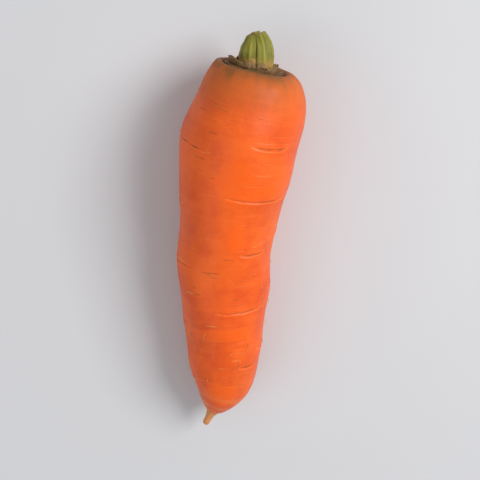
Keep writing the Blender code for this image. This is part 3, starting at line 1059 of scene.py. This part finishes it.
def stalkMaterial(fibre, specks):
    constants = {
        "Subsurface Weight": 0.15,
        "Subsurface Radius": (0.5, 0.8, 0.15),
        "Subsurface Scale": 0.0015,
        "IOR": 1.40,
    }
    material, tree, shader = newMaterial("leafGreen", **constants)
    c = leafGreen
    rise, onCut, sideways, number = attributes(tree, "rise", "onCut", "sideways", "number")
    outside, rib = attributes(tree, "outside", "rib")
    place = vector(tree, sideways, rise, number * 7.3)
    strand, height = useGroup(tree, fibre, {"Vector": place, "Fineness": 16.0, "Length": 1.6})
    ribs = ramp(rib, 0.0, 0.95)
    cloud = noise(place, 1.3, 3.0, 0.6)
    colour = blendColour(ramp(cloud, 0.36, 0.60), c["dark"], c["green"])
    colour = blendColour(ribs * atLeast(outside, 0.0) * ramp(cloud, 0.30, 0.62) * 0.75, colour, c["light"])
    colour = blendColour(strand * 0.25, colour, c["light"])
    edges = ramp(sideways.math("ABSOLUTE"), 0.86, 0.98)
    colour = blendColour(edges * 0.6, colour, c["light"])
    colour = blendColour(ramp(rise + 0.2 * cloud, 0.14, 0.50, 1.0, 0.0) * 0.85, colour, c["base"])
    spots = useGroup(tree, specks, {"Vector": place, "Scale": 9.0, "Size": 0.25, "Share": 0.2})[0]
    colour = blendColour(spots * 0.5, colour, c["dried"])
    lip = ramp(rise + 0.05 * cloud, 0.97, 1.02)
    colour = blendColour(lip * 0.75, colour, c["dried"])
    face = ramp(onCut, 0.06, 0.16)
    dots = ramp(cosine(sideways * 34.0), 0.5, 0.95)
    dots = dots * ramp(onCut, 0.30, 0.42) * ramp(onCut, 0.60, 0.74, 1.0, 0.0)
    flesh = blendColour(dots * 0.85, c["cutFace"], c["cutDot"])
    flesh = blendColour(ramp(onCut, 0.05, 0.34, 1.0, 0.0) * 0.8, flesh, c["dried"])
    colour = blendColour(face, colour, flesh)
    plug(tree, colour, shader.inputs["Base Color"])
    plug(tree, 0.42 + 0.2 * cloud + 0.15 * face, shader.inputs["Roughness"])
    bumped(tree, shader, height, 0.00018, 0.7)
    return material


dryLeaf = {
    "dark": (0.108, 0.053, 0.019),
    "brown": (0.235, 0.124, 0.045),
    "straw": (0.430, 0.290, 0.130),
}


def dryMaterial(fibre):
    material, tree, shader = newMaterial("dryLeaf", **{"IOR": 1.4})
    c = dryLeaf
    rise, sideways, number = attributes(tree, "rise", "sideways", "number")
    place = vector(tree, sideways, rise, number * 3.9)
    strand, height = useGroup(tree, fibre, {"Vector": place, "Fineness": 9.0, "Length": 1.2})
    grime = noise(objectPlace(tree), 620.0, 3.0, 0.6)
    colour = blendColour(ramp(grime, 0.35, 0.62), c["dark"], c["brown"])
    colour = blendColour(strand * ramp(rise, 0.15, 0.7) * 0.8, colour, c["straw"])
    colour = blendColour(ramp(sideways.math("ABSOLUTE"), 0.80, 1.0) * 0.5, colour, c["straw"])
    plug(tree, colour, shader.inputs["Base Color"])
    plug(tree, 0.72 + 0.2 * grime, shader.inputs["Roughness"])
    bumped(tree, shader, height * 0.6 + grime * 0.4, 0.0003, 0.8)
    return material


hairTan = {"pale": (0.66, 0.36, 0.14), "brown": (0.26, 0.11, 0.035)}


def hairMaterial(name, look):
    material, tree, shader = newMaterial(name, **{"IOR": 1.4, "Roughness": 0.65})
    patchy = noise(objectPlace(tree), 420.0, 2.0)
    colour = blendColour(ramp(patchy, 0.40, 0.62), look["pale"], look["brown"])
    plug(tree, colour, shader.inputs["Base Color"])
    return material


# Floor, light and camera

studio = {
    "floorSize": 1.6,
    "floorDrop": 0.00015,
    "floorColour": (0.66, 0.66, 0.67),
    "worldColour": (0.90, 0.92, 0.96),
    "worldStrength": 0.48,
    "keyPlace": Vector((0.80, 0.36, 0.84)),
    "keyPower": 12.0,
    "keySize": 0.62,
    "fillPlace": Vector((-0.50, -0.25, 0.55)),
    "fillPower": 0.9,
    "fillSize": 0.6,
    "lens": 85.0,
    "cameraTilt": math.radians(12.0),
    "frameShare": 0.86,
}


def floorMaterial():
    material, tree, shader = newMaterial("paleFloor", **{"Roughness": 0.62, "Specular IOR Level": 0.25})
    cloud = noise(objectPlace(tree), 14.0, 3.0)
    tone = studio["floorColour"]
    darker = tuple(0.965 * value for value in tone)
    plug(tree, blendColour(cloud, darker, tone), shader.inputs["Base Color"])
    return material


def layFloor():
    half = studio["floorSize"]
    mesh = bpy.data.meshes.new("floor")
    low = -studio["floorDrop"]
    corners = [(x * half, y * half, low) for x, y in ((-1, -1), (1, -1), (1, 1), (-1, 1))]
    mesh.from_pydata(corners, [], [(0, 1, 2, 3)])
    mesh.materials.append(floorMaterial())
    newObject("floor", mesh)


def addLight(name, place, target, power, size):
    data = bpy.data.lights.new(name, "AREA")
    data.shape = "SQUARE"
    data.size = size
    data.energy = power
    light = newObject(name, data)
    light.location = place
    light.rotation_euler = (target - place).to_track_quat("-Z", "Y").to_euler()


def lightScene(target):
    addLight("keyLight", target + studio["keyPlace"], target, studio["keyPower"], studio["keySize"])
    addLight("fillLight", target + studio["fillPlace"], target, studio["fillPower"], studio["fillSize"])
    world = bpy.data.worlds.new("studio")
    world.use_nodes = True
    sky = world.node_tree.nodes["Background"]
    sky.inputs["Color"].default_value = (*studio["worldColour"], 1.0)
    sky.inputs["Strength"].default_value = studio["worldStrength"]
    bpy.context.scene.world = world
    bpy.context.scene.view_settings.view_transform = "Standard"


def placeCamera(low, high):
    target = (low + high) / 2
    data = bpy.data.cameras.new("camera")
    data.lens = studio["lens"]
    data.sensor_width = 36.0
    distance = (high.y - low.y) / studio["frameShare"] * data.lens / data.sensor_width
    tilt = studio["cameraTilt"]
    camera = newObject("camera", data)
    camera.location = target + distance * Vector((0, math.sin(tilt), math.cos(tilt)))
    camera.rotation_euler = (-tilt, 0, 0)
    bpy.context.scene.camera = camera


def main():
    placeCamera(*cadBox)
    lightScene((cadBox[0] + cadBox[1]) / 2)
    layFloor()
    print("camera, light and floor are in place")

    specks, fibre = speckGroup(), fibreGroup()
    surface, mark, sheath = surfaceGroup(), markGroup(), sheathGroup()
    outline = outlineCurve()
    crown = crownPlace()
    green, dry = stalkMaterial(fibre, specks), dryMaterial(fibre)
    print("materials and node groups are built")

    skinNodes = skinTree(surface, mark, skinMaterial(specks))
    carrotSkin = growPiece("carrotSkin", skinNodes, skin | {"Outline": outline})
    rootletNodes = rootletTree(surface, hairMaterial("rootletTan", hairTan))
    hairs = growPiece("rootlets", rootletNodes, rootlets | {"Outline": outline})
    tuft = crown @ leanBack(2 * gap + plateThickness)
    cutStalks = growPiece("cutStalks", stalkTree(sheath, green), stalks, tuft)
    tuftHeart = growPiece("tuftHeart", heartTree(green), heart, tuft)
    crownScales = growPiece("crownScales", scaleTree(sheath, dry), scales, crown)
    crownFibres = growPiece("crownFibres", fibreTree(dry), fibres, crown)
    bpy.data.objects.remove(outline)

    for piece, node, slot in (
        (carrotSkin, "taproot", "orange_skin"),
        (hairs, None, "orange_skin"),
        (cutStalks, "leaf_stalks", "leaf_green"),
        (tuftHeart, "leaf_stalks", "leaf_green"),
        (crownScales, "dry_leaf_bases", "dry_leaf"),
        (crownFibres, None, "dry_leaf"),
    ):
        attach(piece, "root")
        if node:
            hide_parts(node)
    print("every piece rides on the carrot")


main()
